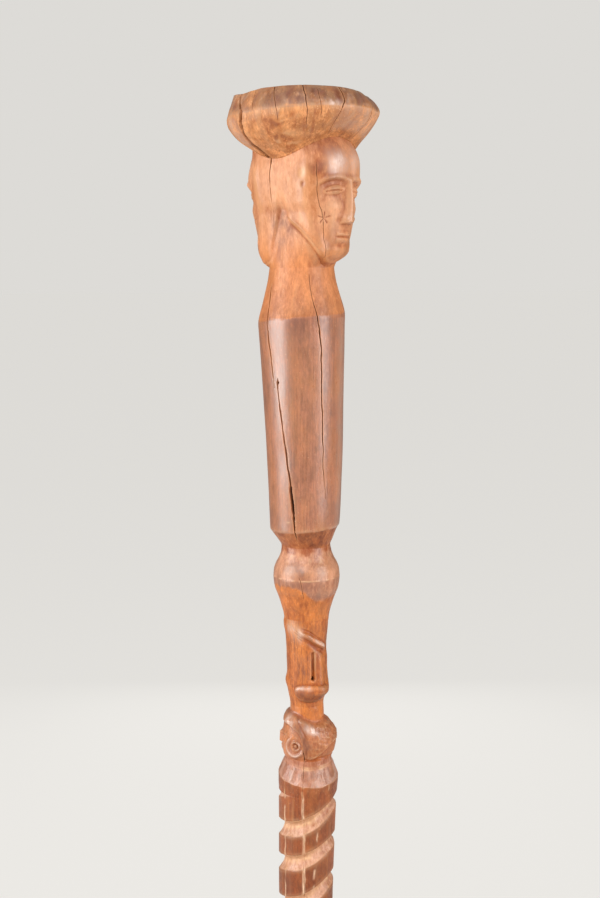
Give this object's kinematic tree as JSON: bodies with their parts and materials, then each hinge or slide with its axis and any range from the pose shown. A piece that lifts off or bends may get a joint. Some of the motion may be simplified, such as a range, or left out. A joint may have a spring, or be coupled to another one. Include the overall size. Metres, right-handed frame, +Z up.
{
  "type": "carved wooden sceptre",
  "caption": "Carved wooden sceptre: wide cap over a two-faced head, smooth handgrip, knob, squatting figure above a small head, and a tapering shaft with a spiral groove.",
  "frame": {"origin": "centre of the foot's flat end", "axes": "+Z up the staff to the cap; the two large faces look along -Y and +Y; +X is to the right of a viewer who looks along +Y"},
  "size_m": [0.081, 0.081, 0.902],
  "materials": {
    "pale_wood": "dry, lightly worn",
    "cap_wood": "dry, stained and cracked",
    "handled_wood": "polished by handling",
    "knob_wood": "satin, partly polished",
    "orange_wood": "satin",
    "brown_wood": "satin, chip carved",
    "stained_wood": "stained, chip carved"
  },
  "bodies": {
    "root": {"foot": "stained_wood", "spiral_shaft": "stained_wood", "collar": "brown_wood", "small_head": "brown_wood", "squatting_figure": "orange_wood", "knob": "knob_wood", "handgrip": "handled_wood", "neck": "pale_wood", "two_faced_head": "pale_wood", "cap": "cap_wood"}
  },
  "joints": []
}
